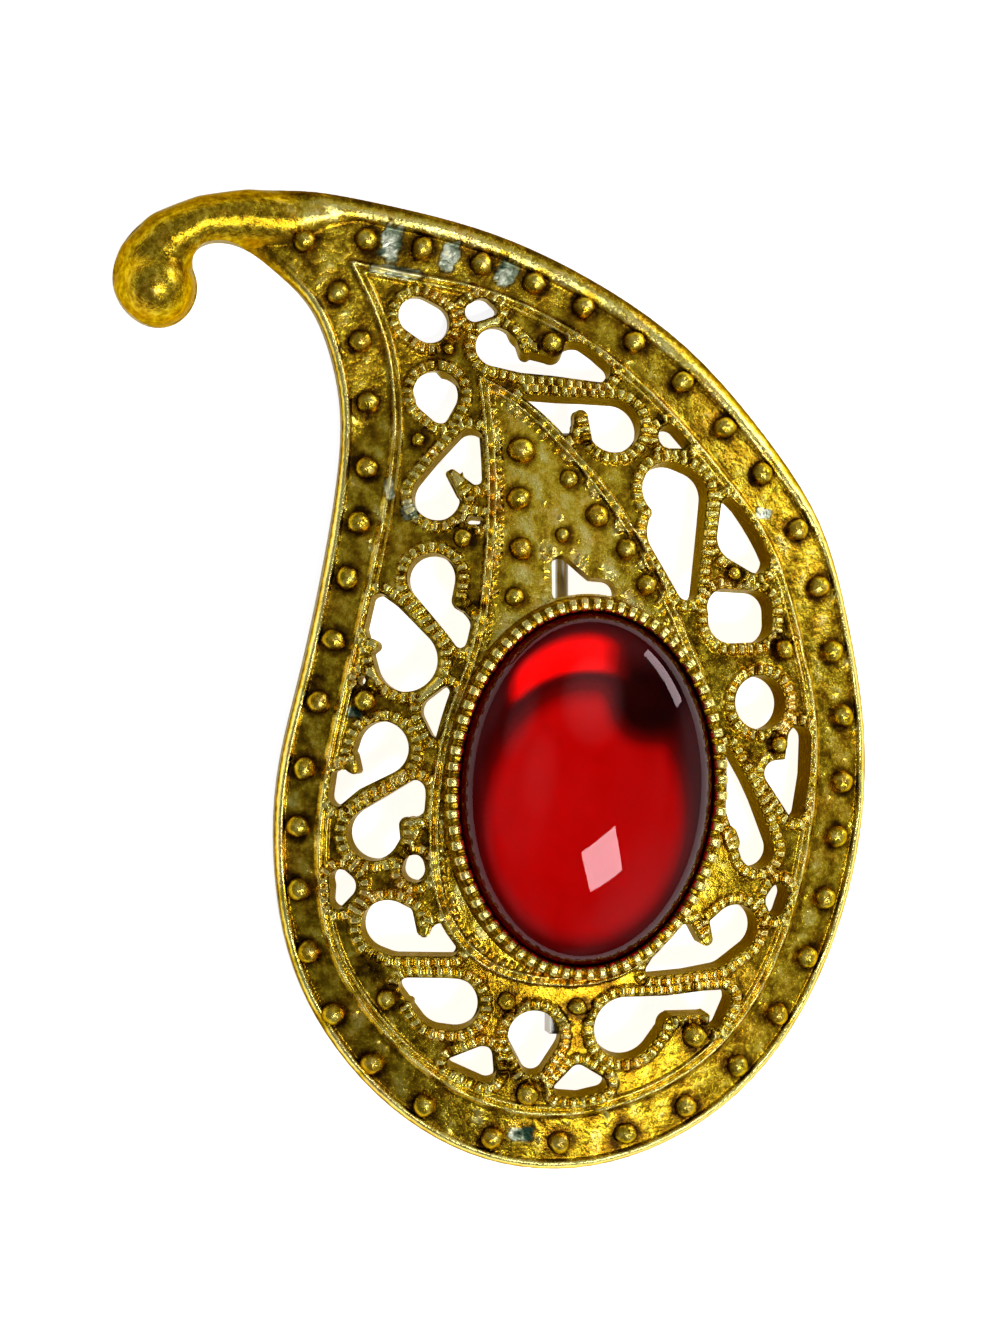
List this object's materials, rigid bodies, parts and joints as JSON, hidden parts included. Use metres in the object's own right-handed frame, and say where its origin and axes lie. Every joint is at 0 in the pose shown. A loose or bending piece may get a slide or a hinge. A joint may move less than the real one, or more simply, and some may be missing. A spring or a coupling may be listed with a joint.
{
  "type": "filigree brooch",
  "caption": "Drop-shaped pierced gilt brooch with a hooked tip, a studded rim, scroll filigree and an oval red cabochon in a toothed collar, with a plain pin stem behind",
  "frame": {"origin": "middle of the bounding box's base, on the plane of the back that the brooch lies on", "axes": "+Z out through the stone, +Y from the round end towards the hook, +X to the wearer's left of the stone, as seen from the front to the right"},
  "size_m": [0.0548, 0.0708, 0.0117],
  "materials": {
    "gilt": "worn antique gilding, dark in the recesses",
    "red_glass": "deep red polished glass, foiled behind",
    "pin_steel": "dull grey wire"
  },
  "bodies": {
    "root": {"body": "gilt", "cabochon": "red_glass", "pin": "pin_steel"}
  },
  "joints": []
}
